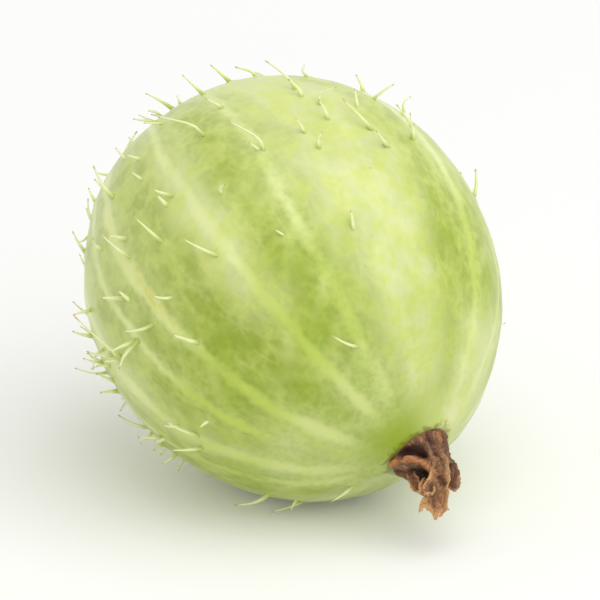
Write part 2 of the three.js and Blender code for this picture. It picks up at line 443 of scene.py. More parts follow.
def add(tree, kind, inputs=(), out=0, **settings):
    """Adds a shader node of a kind and gives back one of its outputs. Settings are its own properties. Inputs
    are a list in its own order, or a dictionary: each is a value, a hex colour, or an output to link from."""
    node = tree.nodes.new("ShaderNode" + kind)
    for key, value in settings.items():
        setattr(node, key, value)
    for key, value in inputs.items() if isinstance(inputs, dict) else enumerate(inputs):
        if isinstance(value, bpy.types.NodeSocket):
            tree.links.new(value, node.inputs[key])
        else:
            node.inputs[key].default_value = colour(value) if isinstance(value, str) else value
    return node.outputs[out] if node.outputs else None


SMOOTH = {"kind": "MapRange", "interpolation_type": "SMOOTHSTEP"}  # value, start, end, low, high
TIMES = {"kind": "Math", "operation": "MULTIPLY"}
TIMES_PLUS = {"kind": "Math", "operation": "MULTIPLY_ADD"}  # value, factor, what is added
COAT = {"kind": "Mix", "data_type": "RGBA", "out": 2}  # 0 how much it covers, 6 below, 7 the coat


def new_material(name):
    """An empty material and its node tree."""
    material = bpy.data.materials.new(name)
    material.use_nodes = True
    material.node_tree.nodes.clear()
    return material, material.node_tree


def cover(material, surface, *pieces):
    """Makes a shader's output the material's surface, and gives the material to the pieces."""
    add(material.node_tree, "OutputMaterial", {"Surface": surface})
    for piece in pieces:
        piece.data.materials.append(material)
    print(material.name, "has", len(material.node_tree.nodes), "nodes, on", len(pieces), "pieces")


# %% [markdown]
# ## Where each colour goes
# Between the veins the flesh is green, fuller near the flower and milkier towards the stalk. Whatever
# changes slowly over the berry is worked out here and kept on the mesh, mostly from the **share** of the way
# from the flower, 0, to the stalk, 1. Veins are faint near the flower. Their halos show at both ends and
# hardly a third of the way along, green flecks thin out towards the stalk, and brown stains keep to the
# flower's very foot. On the side that the flower's front faces, the skin round the foot is painted a deeper
# green: partly greener skin, partly painted shade under the withered flower.

# %% The berry's fields and its mesh
GREEN_AND_SHADE_HEADING = 54  # degrees
FOOT_FULL, FOOT_GONE = 13 / 180, 29 / 180  # shares: 13 and 29 of the 180 degrees from flower to stalk
STRETCH = 0.55  # gore coordinates grow this much slower along the berry: cells come out longer than wide
share = turns / np.pi
by_flower, between_ends, by_stalk = (
    np.array(colour(hexed)[:3]) for hexed in ("#d2dd8a", "#c3d55f", "#e2eaa0")
)
vein_colour = by_flower + (between_ends - by_flower) * rise(share, 0.2, 0.28)[..., None]
vein_colour += (by_stalk - vein_colour) * rise(share, 0.37, 0.47)[..., None]
# painted shade: round the flower's foot, the side that the flower's front faces is painted darker green,
# partly greener skin and partly painted shade under the withered flower
green_and_shade_side = (0.5 + 0.5 * np.cos(headings - np.radians(GREEN_AND_SHADE_HEADING))) ** 4

numbers = {
    "milk": 1.4 * share - 0.65,
    "fleck": between(share, 0.3, 0.6, 0.32, 0.12),
    "halo": halo * (between(share, 0.2, 0.32, 0.6, 0.15) + between(share, 0.4, 0.52, 0, 0.55)),
    "net": rise(share, 0.16, 0.32),
    "veinlet": 0.9 * veinlet,
    "vein": vein * between(share, 0.06, 0.18, 0.3, 1) - 0.2,
    "swathe": swathe,
    "foot": 0.95 * between(share, FOOT_FULL, FOOT_GONE, 1, 0) * green_and_shade_side,
    # painted light: the pale ring round each bristle's root is partly its own colour, partly painted light
    # over the shade at the root
    "mound": 0.4 * root_mound,
    "blush": 0.65 * blush,
    "stain": between(share, 0.045, 0.08, 0.22, -0.25),
}
# Gore coordinates follow the skin from end to end: a cylinder's ring for the heading, the turn for its
# height. Patterns on them narrow to both ends as the berry's own do, and they have no seam.
gore = np.stack([np.cos(headings), np.sin(headings), STRETCH * turns], -1) * half_width
vectors = {"gore": gore, "vein_colour": vein_colour}
berry = closed_skin("gooseberry_skin", surface, numbers | vectors)

# %% [markdown]
# ## Gooseberry skin
# The real skin is a thin, smooth, waxy layer over flesh that light enters and leaves again a little way
# off, so its colour looks soft and deep, and its gloss is broad rather than sharp. Its grains are noise of
# several sizes: green flecks 0.4 mm across, clumps of them, clouds of 3 mm, and the net of finest veinlets,
# with meshes about 0.9 mm wide and 1.7 mm long. Pores about 0.1 mm apart would be too fine to show, so they
# are drawn at 0.2 mm, and very shallow.

# %% The grains of the skin
# Each grain: its size in mm, how much finer detail it holds, and how rough that detail is. A pattern's scale
# is cells per unit of its coordinates. Object coordinates are metres; gore coordinates are millimetres.
GRAINS = {
    "fleck": (0.4, 2, 0.5),
    "clump": (1.2, 2.2, 0.5),
    "cloud": (3, 3.5, 0.55),
    "stain": (0.38, 3, 0.5),
    "pore": (0.2, 2, 0.5),
}
MESH_WIDTH = 0.914  # mm between the net's threads, round the berry
BEND, BEND_SIZE = 0.724, 0.8  # mm: how far the net's threads are pushed about, and over what distance

skin_material, tree = new_material("gooseberry_skin")
position = add(tree, "TexCoord", out="Object")
field = {name: add(tree, "Attribute", out="Fac", attribute_name=name) for name in numbers}
field |= {name: add(tree, "Attribute", out="Vector", attribute_name=name) for name in vectors}
grain = {}
for name, (size, detail, roughness) in GRAINS.items():
    inputs = {"Vector": position, "Scale": 1 / (size * MM), "Detail": detail, "Roughness": roughness}
    grain[name] = add(tree, "TexNoise", inputs)
bend_inputs = {"Vector": field["gore"], "Scale": 1 / BEND_SIZE, "Detail": 3}
push = add(tree, "TexNoise", bend_inputs, "Color")
bent = add(tree, "VectorMath", [push, (BEND,) * 3, field["gore"]], operation="MULTIPLY_ADD")
net_inputs = {"Vector": bent, "Scale": 1 / MESH_WIDTH}
to_thread = add(tree, "TexVoronoi", net_inputs, feature="DISTANCE_TO_EDGE")
net = add(tree, inputs=[to_thread, 0, 0.2, 1, 0], **SMOOTH)
print("grains per mm:", {name: round(1 / size, 1) for name, (size, *_) in GRAINS.items()})

# %% [markdown]
# ## The colours of the skin
# The colours go on like thin coats of paint, from the flesh outwards: green flesh, clumps and flecks, the
# halos, the net, the veins, the pale bands, which are partly the flesh's milkiness and partly painted
# highlight and painted light, and at last what is local: the green foot, partly painted shade, the pale
# mounds, partly painted light, the yellow blushes and the brown stains. How much a coat covers is one of the
# mesh's fields times a smooth step of a grain, so that its edge is never a clean line.

# %% Lay the coats
# Smooth steps of the grains: which one, from where to where, and from what to what.
GRAIN_STEPS = {
    "clumped": ("clump", 0.38, 0.6, 0.5, 0),
    "flecked": ("fleck", 0.34, 0.62, 1, 0),
    "halo_showing": ("fleck", 0.35, 0.62, 0.82, 1.18),
    "net_showing": ("cloud", 0.4, 0.6, 0.04, 0.22),
    "swathe_showing": ("cloud", 0.3, 0.7, 0.85, 1.1),
    "warmth": ("clump", 0.35, 0.65, 0, 1),
    "roughness": ("fleck", 0.3, 0.7, 0.4, 0.5),
}
step = {}
for name, (which, *values) in GRAIN_STEPS.items():
    step[name] = add(tree, inputs=[grain[which], *values], **SMOOTH)
milk = add(tree, inputs=[grain["cloud"], 1.1, field["milk"]], **TIMES_PLUS)
net_depth = add(tree, inputs=[step["net_showing"], field["net"]], **TIMES)
paleness = add(tree, inputs=[grain["fleck"], 0.4, field["vein"]], **TIMES_PLUS)
stained = add(tree, "Math", [grain["stain"], field["stain"]], operation="ADD")
# the pale bands' tone: partly the flesh's milkiness, partly painted highlight
milky_and_highlight_tone = add(tree, inputs={0: step["warmth"], 6: "#e5eab2", 7: "#dbe38d"}, **COAT)
coats = [
    (add(tree, inputs=[milk, 0.1, 0.95, 0, 1], **SMOOTH), "#c4d16c"),
    (step["clumped"], "#8c9e1c"),
    (add(tree, inputs=[step["flecked"], field["fleck"]], **TIMES), "#849818"),
    (add(tree, inputs=[field["halo"], step["halo_showing"]], **TIMES), "#cedb94"),
    (add(tree, inputs=[net, net_depth, field["veinlet"]], **TIMES_PLUS), "#d3df86"),
    (add(tree, inputs=[paleness, 0.1, 0.95, 0, 1], **SMOOTH), field["vein_colour"]),
    # pale bands: partly the flesh's milkiness, partly a painted highlight of the lamp's gloss and painted
    # light on shaded skin near the flower
    (add(tree, inputs=[field["swathe"], step["swathe_showing"]], **TIMES), milky_and_highlight_tone),
    # the green foot: partly greener skin, partly painted shade under the withered flower
    (field["foot"], "#9bb126"),
    # pale mounds: partly their own colour, partly painted light over the shade at the bristles' roots
    (field["mound"], "#d3df8c"),
    (field["blush"], "#cfcc45"),
    (add(tree, inputs=[stained, 0.45, 0.68, 0, 0.6], **SMOOTH), "#7d702c"),
]
skin_colour = "#a0b526"
for covering, coat in coats:
    skin_colour = add(tree, inputs={0: covering, 6: skin_colour, 7: coat}, **COAT)
print("coats of colour:", len(coats))

# %% [markdown]
# ## The wax and the flesh
# Light goes about a third of a millimetre into the flesh, red and green further than blue. The wax is a clear
# coat, smooth but not polished, over a softer gloss that the flecks make a little uneven. At the rim, where
# the wax is seen at a slant, it mirrors the white surroundings and makes the green pale.

# %% Finish the skin
relief_inputs = {"Height": grain["pore"], "Strength": 0.12, "Distance": 0.03 * MM}
wax = {
    "Base Color": skin_colour,
    "Roughness": step["roughness"],
    "Normal": add(tree, "Bump", relief_inputs),
    "IOR": 1.42,
    "Specular IOR Level": 0.3,
    "Subsurface Weight": 0.7,
    "Subsurface Radius": (1.0, 0.9, 0.35),
    "Subsurface Scale": 0.32 * MM,
    "Coat Weight": 0.4,
    "Coat Roughness": 0.24,
    "Coat IOR": 1.45,
}
cover(skin_material, add(tree, "BsdfPrincipled", wax), berry)

# %% [markdown]
# ## Bristles
# Each bristle is a soft tapered hair 1 to 2 mm long with a red-brown gland at its tip. It roots in a small
# mound of the skin, painted pale, partly its own colour and partly painted light over the shade at its root,
# and leans more or less towards the stalk and to one side, and many are bowed or kinked.
# A hair is a stack of small rings along a bent line. All of them are worked out at once as one array of
# bristles x rings x corners, six corners to a ring, so that a few dozen faces are enough for each. Those
# near the floor are pressed along it: their heights go through the same smooth maximum as the skin.

# %% Bend the bristles' middle lines
NUDGE = 1e-4  # a small angle, for the skin's own directions at a root
ROOT_DEPTH = 0.15  # mm that a bristle starts under the skin
LOWEST_MIDDLE, LOWEST_POINT = 0.07, 0.01  # mm over the floor
down_skin = skin(root_turn + NUDGE, root_heading) - skin(root_turn - NUDGE, root_heading)
round_skin = skin(root_turn, root_heading + NUDGE) - skin(root_turn, root_heading - NUDGE)
to_stalk = down_skin / np.linalg.norm(down_skin, axis=-1, keepdims=True)
sideways = round_skin / np.linalg.norm(round_skin, axis=-1, keepdims=True)
upright = np.cross(sideways, to_stalk)
upright *= np.sign(np.einsum("ij,ij->i", upright, roots - berry_centre))[:, None]
to_stalk, sideways, upright = to_stalk[:, None], sideways[:, None], upright[:, None]

length = draw.gamma(14, 1.36 / 14, count).clip(0.7, 2.2)[:, None, None]
lean = draw.normal(0.6, 0.4, count)[:, None, None]
swing = draw.normal(0.35, 0.5, count)[:, None, None]
bow = draw.normal(0.25, 0.5, count)[:, None, None]
kink = (draw.uniform(-1.6, 1.6, count) * (draw.uniform(size=count) < 0.5))[:, None, None]
along_hair = np.array([0, 0.12, 0.28, 0.45, 0.62, 0.78, 0.91, 0.96, 1.0])[None, :, None]
past_kink = np.maximum(along_hair - 0.55, 0)
middle = roots[:, None] + length * (
    upright * (along_hair - 0.25 * np.abs(bow) * along_hair**2)
    + to_stalk * (lean * along_hair + bow * along_hair**2 + kink * past_kink)
    + sideways * (swing * along_hair + kink * past_kink)
) / np.sqrt(1 + lean**2)
middle -= upright * ROOT_DEPTH
middle[..., 2] = np.maximum(settled(middle[..., 2]), LOWEST_MIDDLE)
print("bristle lengths in mm:", length.min().round(2), "to", length.max().round(2))

# %% Put rings round the lines
# A hair's radius in mm at each ring: a broad foot, a long taper, and the gland at the tip.
THICKNESS = np.array([0.17, 0.145, 0.12, 0.1, 0.08, 0.061, 0.043, 0.052, 0.03])
HAIR_RINGS, HAIR_STEPS = len(THICKNESS), 6
forward = np.gradient(middle, axis=1)
forward /= np.linalg.norm(forward, axis=-1, keepdims=True)
one_way = np.cross(forward, sideways)
one_way /= np.linalg.norm(one_way, axis=-1, keepdims=True)
other_way = np.cross(forward, one_way)
angle = np.linspace(0, 2 * np.pi, HAIR_STEPS, endpoint=False)[:, None]
radius = (THICKNESS * draw.uniform(0.75, 1.15, (count, 1)))[..., None, None]
ring = one_way[:, :, None] * np.cos(angle) + other_way[:, :, None] * np.sin(angle)
hair = middle[:, :, None] + radius * ring
hair[..., 2] = np.maximum(hair[..., 2], LOWEST_POINT)

points_each = HAIR_RINGS * HAIR_STEPS
first_points = np.arange(count)[:, None, None] * points_each
walls = (ring_faces(HAIR_RINGS, HAIR_STEPS) + first_points).reshape(-1, 4)
lids = np.array([range(HAIR_STEPS)[::-1], range(points_each - HAIR_STEPS, points_each)])
lids = (lids + first_points).reshape(-1, HAIR_STEPS)
tip = np.broadcast_to(along_hair[..., None], (count, HAIR_RINGS, HAIR_STEPS, 1)).reshape(-1, 1)
bristles = new_piece("bristles", hair.reshape(-1, 3), walls.tolist() + lids.tolist(), {"tip": tip})

# %% [markdown]
# ## Bristle tissue
# A bristle is the same pale tissue as a vein, so thin that light shines through. It gives a cream line with
# a soft gloss, greener at its foot. The gland at the tip is a dry red-brown bead.

# %% The bristles' material
bristle_material, tree = new_material("bristle_tissue")
tip_value = add(tree, "Attribute", out="Fac", attribute_name="tip")
past_foot = add(tree, inputs=[tip_value, 0.1, 0.5, 0, 1], **SMOOTH)
gland = add(tree, inputs=[tip_value, 0.88, 0.96, 0, 0.6], **SMOOTH)
shaft = add(tree, inputs={0: past_foot, 6: "#bccb6a", 7: "#e9eeb6"}, **COAT)
tissue = {
    "Base Color": add(tree, inputs={0: gland, 6: shaft, 7: "#b8754a"}, **COAT),
    "Roughness": 0.45,
    "IOR": 1.4,
    "Subsurface Weight": 0.5,
    "Subsurface Radius": (1, 1, 0.6),
    "Subsurface Scale": 0.2 * MM,
}
cover(bristle_material, add(tree, "BsdfPrincipled", tissue), bristles)

# %% [markdown]
# ## The withered flower
# When the berry sets, the flower on its end dries to a brown papery rag that stays on: a short tube, the
# sepals that stood on its rim, and the style in the middle. It is drawn in a frame of its own, whose middle
# is the seat at the berry's end: **aside** to the right of somebody who looks at the flower, **height** out
# along the berry's axis, and **front** towards that person. In this frame, down is to the left, outwards
# and back, so that is where the limp straps hang.

# %% The flower's own frame
SEAT = half_length + COLLAR_RISE
FRONT = np.radians(48)  # the heading that the flower's front faces


def flower_to_row(points):
    """Points (aside, height, front) in mm on the seat, taken to the row's frame: aside and front are the
    berry's across and raised, turned by the front's heading, and height goes on from the seat."""
    aside, height, front = np.moveaxis(points, -1, 0)
    across = front * np.sin(FRONT) - aside * np.cos(FRONT)
    raised = front * np.cos(FRONT) + aside * np.sin(FRONT)
    return to_row(np.stack([across, SEAT + height, raised], -1))


def stacked(*columns):
    """Arrays that fit together, as one array of vectors."""
    return np.stack(np.broadcast_arrays(*columns), -1)


def smooth_path(points, count):
    """Catmull-Rom curve through the points: each span is a cubic that leaves a point along the line between
    its two neighbours."""
    p = np.array(points, float)
    p = np.vstack([2 * p[0] - p[1], p, 2 * p[-1] - p[-2]])
    place = np.linspace(0, len(points) - 1, count)
    i = np.minimum(place.astype(int), len(points) - 2)
    t = (place - i)[:, None]
    a, b, c, d = p[i], p[i + 1], p[i + 2], p[i + 3]
    return b + t * ((c - a) + t * ((2 * a - 5 * b + 4 * c - d) + t * (3 * (b - c) + d - a))) / 2


print("the flower's seat in mm:", flower_to_row(np.zeros(3)).round(2))

# %% [markdown]
# ## Pressing folds and hollows
# Dried tissue has caved in between a few stiff folds. Each fold and each hollow is pressed into a surface
# like a stroke of a modelling tool: a line on the unrolled surface, with a width and a height, that fades
# out like a bell curve of the distance from it.


# %% Strokes on a surface
def pressed(x, y, strokes):
    """Sum over the strokes (x1, y1, x2, y2, half width, height) of height x a bell curve of the distance in
    mm from (x, y) to the stroke's line, which is the distance to the nearest point between its two ends."""
    total = np.zeros(np.broadcast(x, y).shape)
    for x1, y1, x2, y2, half_stroke, height in strokes:
        run_x, run_y = x2 - x1, y2 - y1
        share = np.clip(((x - x1) * run_x + (y - y1) * run_y) / (run_x**2 + run_y**2), 0, 1)
        apart = np.hypot(x - x1 - share * run_x, y - y1 - share * run_y)
        total += height * np.exp(-((apart / half_stroke) ** 2))
    return total


def creased(field):
    """A smooth field turned to creases: 1.35 x a narrow bell curve of the field, less 0.35, is 1 along the
    lines where the field crosses 0, and flat at -0.35 in the hollows between them."""
    return 1.35 * np.exp(-((field / 0.3) ** 2)) - 0.35


# %% [markdown]
# ## The floral tube
# The tube is a little cup that has dried out. Its outline is turned about the axis and leans over as it
# rises. Strokes make one slanting fold with a deep hollow on either side of it, upright folds on the right
# wall, and hollows round the back, and crumples of several sizes go over them. How high each point ended up
# is kept as its **crest**, because crests are painted pale, partly wear and partly painted highlight, and
# hollows are painted dark as painted shade; its place on the unrolled wall is kept as its **weft**, for the
# fibres.

# %% Folds and hollows of the tube's wall
# Unrolled, the wall goes from -4.4 to 4.4 mm round, with 0 at the front, and from -0.4 to 1.6 mm up.
UNROLL = 1.4  # mm of wall to one radian
TUBE_STROKES = [
    (-0.45, -0.05, 0.25, 0.55, 0.27, -0.7),  # the deep hollow above the fold
    (-1.2, -0.15, -0.35, 0.4, 0.2, 0.34),  # the slanting fold, in two stretches
    (-0.35, 0.4, 0.1, 1.5, 0.24, 0.3),
    (-1.05, 1.15, -0.45, 1.45, 0.3, -0.9),  # the deep hollow below it, at the rim
    (-1.7, -0.05, -1.15, 1.0, 0.13, -0.14),  # grooves of the left wall
    (-2.1, 0.1, -1.75, 1.3, 0.13, 0.1),
    (0.55, 0.1, 0.7, 1.2, 0.15, 0.14),  # upright folds of the right wall
    (0.95, 0.0, 1.05, 1.3, 0.12, -0.2),
    (1.4, 0.0, 1.5, 1.4, 0.13, 0.13),
    (1.85, 0.3, 1.9, 1.3, 0.13, -0.15),
    (3.2, 0.2, 3.6, 1.1, 0.35, -0.5),  # hollows round the back
    (-3.6, 0.2, -3.9, 1.2, 0.3, -0.45),
    (-2.9, 0.5, -2.7, 1.2, 0.2, -0.3),
]
TUBE_FOOT, TUBE_WAIST, TUBE_RIM = 1.76, 1.24, 1.3
TUBE_LENGTH = 1.6
TUBE_LEAN = 0.15  # how far the rim has sunk to the left and back, in mm
# Outline: (radius, height) up the outside, over the rim and down to the floor inside.
TUBE_OUTLINE = [
    (0.4, -0.25),
    (1.5, -0.42),
    (TUBE_FOOT, -0.25),
    (TUBE_FOOT * 0.98, 0.05),
    (1.52, 0.5),
    (TUBE_WAIST, 1.05),
    (TUBE_RIM, TUBE_LENGTH),
    (TUBE_RIM - 0.15, TUBE_LENGTH + 0.05),
    (0.3, 1.3),
    (0.15, 1.0),
]


# %% Make the floral tube
def turned(outline, rings, steps):
    """What it takes to turn an outline of (radius, height) about the height: a row of headings, a column of
    radii and a column of heights. A point is then (radius x sin, height, radius x cos) of the heading."""
    line = smooth_path(outline, rings)
    return np.linspace(-np.pi, np.pi, steps, endpoint=False)[None, :], line[:, 0, None], line[:, 1, None]


TUBE_RINGS, TUBE_STEPS = 130, 220
around, radius, level = turned(TUBE_OUTLINE, TUBE_RINGS, TUBE_STEPS)
outside = 1 - rise(np.arange(TUBE_RINGS)[:, None] / TUBE_RINGS, 0.72, 0.86)
cup = stacked(radius * np.sin(around), level, radius * np.cos(around))
crumple = creased(waves(cup, 1.1, 21))
fine = creased(waves(cup * np.array([1, 0.4, 1]), 0.4, 22))
grains = waves(cup, 0.2, 23)
firm = rise(level, -0.4, -0.1) * outside
strokes = pressed(around * UNROLL, level, TUBE_STROKES)
lift = firm * (strokes + 0.05 * crumple + 0.035 * fine) + 0.015 * grains * outside
cup = cup + stacked(np.sin(around), 0, np.cos(around)) * lift[..., None]
cup[..., 1] += outside * (0.05 * waves(cup, 0.8, 24) + 0.1 * rise(level, 1.2, 1.6) * waves(cup, 0.7, 25))
cup = cup + (TUBE_LEAN * rise(level, 0.2, 1.8))[..., None] * np.array([-0.65, 0.3, -0.58])
# crest: painted pale on ridges, partly wear and partly painted highlight, and painted dark in hollows as
# painted shade
tube_fields = {"weft": stacked(around * UNROLL, level, 0), "crest": np.clip(0.42 + 1.5 * lift, 0, 1)}
floral_tube = closed_skin("withered_tube", flower_to_row(cup), tube_fields)

# %% [markdown]
# ## The sepals
# Five sepals stood on the tube's rim. Dried, they are thin crumpled straps: one hangs down in front with
# torn tips, one has rolled up beside it, one is a curled lip, and the others are folded into the bundle. A
# strap is carried along a path of a few points. Where they lie to the side and in height started from
# measurements, worked out in this frame beforehand; how far in front they lie was guessed, and most were
# then moved one by one. A strap's section lies along a direction that turns from one given at its start to
# one at its end; its two sides have their own widths along the way, and its end is cut in teeth. Two sheets
# on either side of that surface, joined along the edges, give it the thickness of paper.


# %% Carrying a sheet along a path
def along_path(path, share, count=400):
    """Places and directions of a smooth path at shares of its points, and its length. Both are read off
    between 400 points of it; a direction is the step to the next point over its length."""
    points = smooth_path(path, count)
    slope = np.gradient(points, axis=0)
    slope /= np.linalg.norm(slope, axis=-1, keepdims=True)
    shares = np.linspace(0, 1, count)
    place = stacked(*(np.interp(share, shares, column) for column in points.T))
    forward = stacked(*(np.interp(share, shares, column) for column in slope.T))
    return place, forward, np.linalg.norm(np.diff(points, axis=0), axis=-1).sum()


def at_equal_steps(share, values):
    """Values that were given at equal steps from 0 to 1, read off at a share between them."""
    return np.interp(share, np.linspace(0, 1, len(values)), values)


def normals(points):
    """The direction at right angles to a grid of points: its two gradients' cross product made 1 long."""
    n = np.cross(np.gradient(points, axis=0), np.gradient(points, axis=1))
    return n / np.maximum(np.linalg.norm(n, axis=-1, keepdims=True), 1e-9)


# %% A dried strap
STRAP_ROWS, STRAP_COLUMNS = 110, 30
PAPER = 0.055  # half the thickness of a dry sepal, in mm


def strap(name, path, flanks, left, right, end, cup=0.3, pleat=0.05, strokes=(), seed=0):
    """A thin crumpled strap. Its path points and the flanks, which are the directions across it at its start
    and end, are (aside, height, front) in mm. Left and right are its half widths at equal steps along it;
    end gives the share of the length that it reaches at equal steps across. A point goes u, from -1 to 1,
    across and v, from 0 to 1, along. Cup bends the section to an arc, hollow behind, or in front if it is
    negative."""
    v = np.linspace(0, 1, STRAP_ROWS)[:, None]
    u = np.linspace(-1, 1, STRAP_COLUMNS)[None, :]
    tears = 0.015 * np.sin(13 * u + seed) + 0.01 * np.sin(31 * u + 2 * seed)
    along = np.clip(v * (at_equal_steps((u + 1) / 2, end) + tears), 0, 1)
    line, forward, length = along_path(path, along)
    first, last = np.array(flanks, float)
    flank = first + (last - first) * along[..., None]
    flank = flank - forward * (flank * forward).sum(-1, keepdims=True)
    flank /= np.linalg.norm(flank, axis=-1, keepdims=True)

    half = np.where(u < 0, at_equal_steps(along, left), at_equal_steps(along, right))
    half = half * (1 + 0.05 * np.sin(23 * along + 2 * seed - np.sign(u)))
    pleats = pleat * (1 - 2 * np.abs(np.sin(np.pi * (1.5 * u + 0.3 * np.sin(4 * along + seed)) + seed)))
    folds = pleats + pressed(half * u, along * length, strokes)
    bend = cup * half * u**2 - folds
    sheet = line + flank * (half * u)[..., None] - np.cross(forward, flank) * bend[..., None]
    crumples = 0.06 * creased(waves(sheet, 0.9, seed + 50)) + 0.025 * creased(waves(sheet, 0.4, seed + 51))
    sheet = sheet + normals(sheet) * (crumples * rise(v, 0, 0.15))[..., None]
    thick = PAPER * (1 - 0.5 * u**4) * (1 - 0.35 * v) + 0.006 * waves(sheet, 0.25, seed + 52)
    apart = normals(sheet) * thick[..., None]

    edge = np.maximum(np.abs(u) ** 3, rise(v, 0.85, 1))
    worn_tip = 0.2 * rise(along, 0.7, 1)
    # painted shade: the inside of a strap that cups towards the front is painted darker
    shaded = 0.33 * max(-cup, 0) * (1 - u**2)
    # crest: pale on crumples, folds, edges and the tip, partly wear and partly painted highlight; low in
    # hollows as painted shade
    crest = np.clip(0.36 + 2.2 * crumples + 1.8 * folds + 0.35 * edge + worn_tip - shaded, 0, 1)
    weft = stacked(half * u, along * 2.5, seed)
    fields = {"weft": weft, "crest": crest}
    both_sides = {key: np.concatenate([field, field[:, ::-1]], axis=1) for key, field in fields.items()}
    grid = np.concatenate([sheet + apart, (sheet - apart)[:, ::-1]], axis=1)
    return closed_skin(name, flower_to_row(grid), both_sides, poles=False)


# %% Make the five sepals
RIGHTWARDS = (0.75, 0.54, -0.38)  # level and to the right, for somebody who looks at the flower
RIGHT_AND_UP = (0.99, 0.01, -0.14)
RIGHT_AND_DOWN = (0.31, 0.82, -0.46)
sepals = [
    strap(
        "sepal_front_strap",
        [(0.72, 1.1, 0.62), (0.5, 1.85, 0.95), (0.04, 2.29, 1.0), (-0.35, 2.59, 0.9), (-0.66, 2.95, 0.75),
         (-1.17, 3.27, 0.6), (-1.58, 3.75, 0.4)],
        [RIGHTWARDS, RIGHTWARDS],
        left=[0.4, 0.46, 0.6, 0.75, 0.6, 0.85, 0.95],
        right=[0.4, 0.52, 0.64, 0.66, 0.64, 0.78, 0.75],
        end=[0.88, 0.85, 0.86, 1.0, 0.98, 0.93, 0.84],
        strokes=[
            (0.1, 1.15, 0.35, 1.4, 0.13, -0.25), (-0.15, 0.9, 0.45, 1.9, 0.11, 0.12),
            (-0.35, 1.7, -0.1, 2.9, 0.12, -0.15), (0.35, 2.3, 0.1, 3.2, 0.12, 0.1),
        ],
        seed=1,
    ),
    strap(
        "sepal_left_strap",
        [(-1.0, 0.6, 0.45), (-1.19, 1.3, 0.55), (-1.22, 1.75, 0.68), (-1.12, 2.1, 0.8), (-0.95, 2.3, 0.95)],
        [(0.97, -0.18, -0.05), RIGHTWARDS],
        left=[0.25, 0.3, 0.32, 0.34, 0.3],
        right=[0.2, 0.3, 0.36, 0.42, 0.4],
        end=[0.92, 0.98, 1.0, 0.97, 0.92],
        cup=0.4, seed=2,
    ),
    strap(
        "sepal_curled_lip",
        [(-0.5, 1.8, 0.6), (-0.68, 2.1, 0.95), (-0.86, 2.4, 1.12), (-1.0, 2.66, 1.15), (-0.97, 2.74, 1.3),
         (-0.85, 2.62, 1.4)],
        [RIGHTWARDS, RIGHTWARDS],
        left=[0.25, 0.36, 0.45, 0.5, 0.45, 0.35],
        right=[0.2, 0.3, 0.42, 0.48, 0.42, 0.3],
        end=[0.88, 0.95, 1.0, 0.98, 0.9],
        cup=0.6, seed=3,
    ),
    strap(
        "sepal_back_strap",
        [(0.6, 0.9, -0.6), (0.15, 1.55, -0.5), (-0.39, 2.1, -0.3), (-0.89, 2.7, 0.0), (-1.42, 2.99, 0.1)],
        [RIGHTWARDS, RIGHTWARDS],
        left=[0.5, 0.5],
        right=[0.5, 0.5, 0.55, 0.5, 0.4],
        end=[0.8, 0.9, 1.0, 0.9, 0.95],
        seed=4,
    ),
    strap(
        "sepal_spoon",
        [(0.85, 1.1, 0.0), (0.95, 1.6, 0.1), (0.82, 2.14, 0.16), (0.48, 2.57, 0.16), (0.05, 2.8, 0.22)],
        [RIGHT_AND_UP, RIGHT_AND_DOWN],
        left=[0.25, 0.32, 0.44, 0.46, 0.4],
        right=[0.25, 0.3, 0.42, 0.46, 0.4],
        end=[0.9, 0.97, 1.0, 0.98, 0.92],
        cup=-1.5, pleat=0.02, seed=5,
    ),
]

# %% [markdown]
# ## The style
# The dry style is a thread from the tube's floor that parts in two. Two threads that share their lower half
# would be two bodies in one, so it is drawn as one flat thread whose section widens towards its end, with
# a deep groove down the middle that makes the two lobes.

# %% Make the style
STYLE_RINGS, STYLE_STEPS = 60, 28
STYLE_RADIUS = 0.13
style_path = [(0, 1.1, 0), (-0.1, 1.7, -0.05), (-0.4, 2.3, -0.1), (-0.75, 2.85, -0.2)]
v = np.linspace(0, 1, STYLE_RINGS)[:, None]
angle = np.linspace(0, 2 * np.pi, STYLE_STEPS, endpoint=False)[None, :]
parted = rise(v, 0.45, 1.0)
wide = STYLE_RADIUS * (1 + 1.6 * parted) * np.cos(angle)
deep = 0.12 * (1 - 0.75 * parted * np.abs(np.sin(angle)) ** 3) * np.sin(angle)
hollow = 0.12 * parted * np.cos(angle) ** 2
thread = smooth_path(style_path, STYLE_RINGS)[:, None] + stacked(wide, hollow, deep)
thread = thread + 0.015 * waves(thread, 0.3, 61)[..., None]
style_fields = {"weft": stacked(angle * STYLE_RADIUS, v * 2.3, 0), "crest": 0.4 + 0.4 * v + 0 * angle}
style = closed_skin("dried_style", flower_to_row(thread), style_fields)

# %% [markdown]
# ## Withered tissue
# Dry sepals are like old paper bags: matt, fibrous and uneven. Crests and torn edges are tan to orange,
# partly wear and partly painted highlight, and hollows are painted nearly black brown as painted shade. Over
# both lie specks of red brown and of greyish tan, 0.1 to 0.2 mm across, and greyish fibres that run
# lengthwise. The fibres' real spacing of about 0.05 mm is too fine to show, so they are drawn 0.15 mm apart
# and six times as long. In the deepest hollows the painted shade hides what lies over them.

# %% The materials of the flower
BLOTCH, SPECK = 0.53, 0.12  # mm
FIBRE_GAP, FIBRE_LENGTH = 0.15, 0.9  # mm


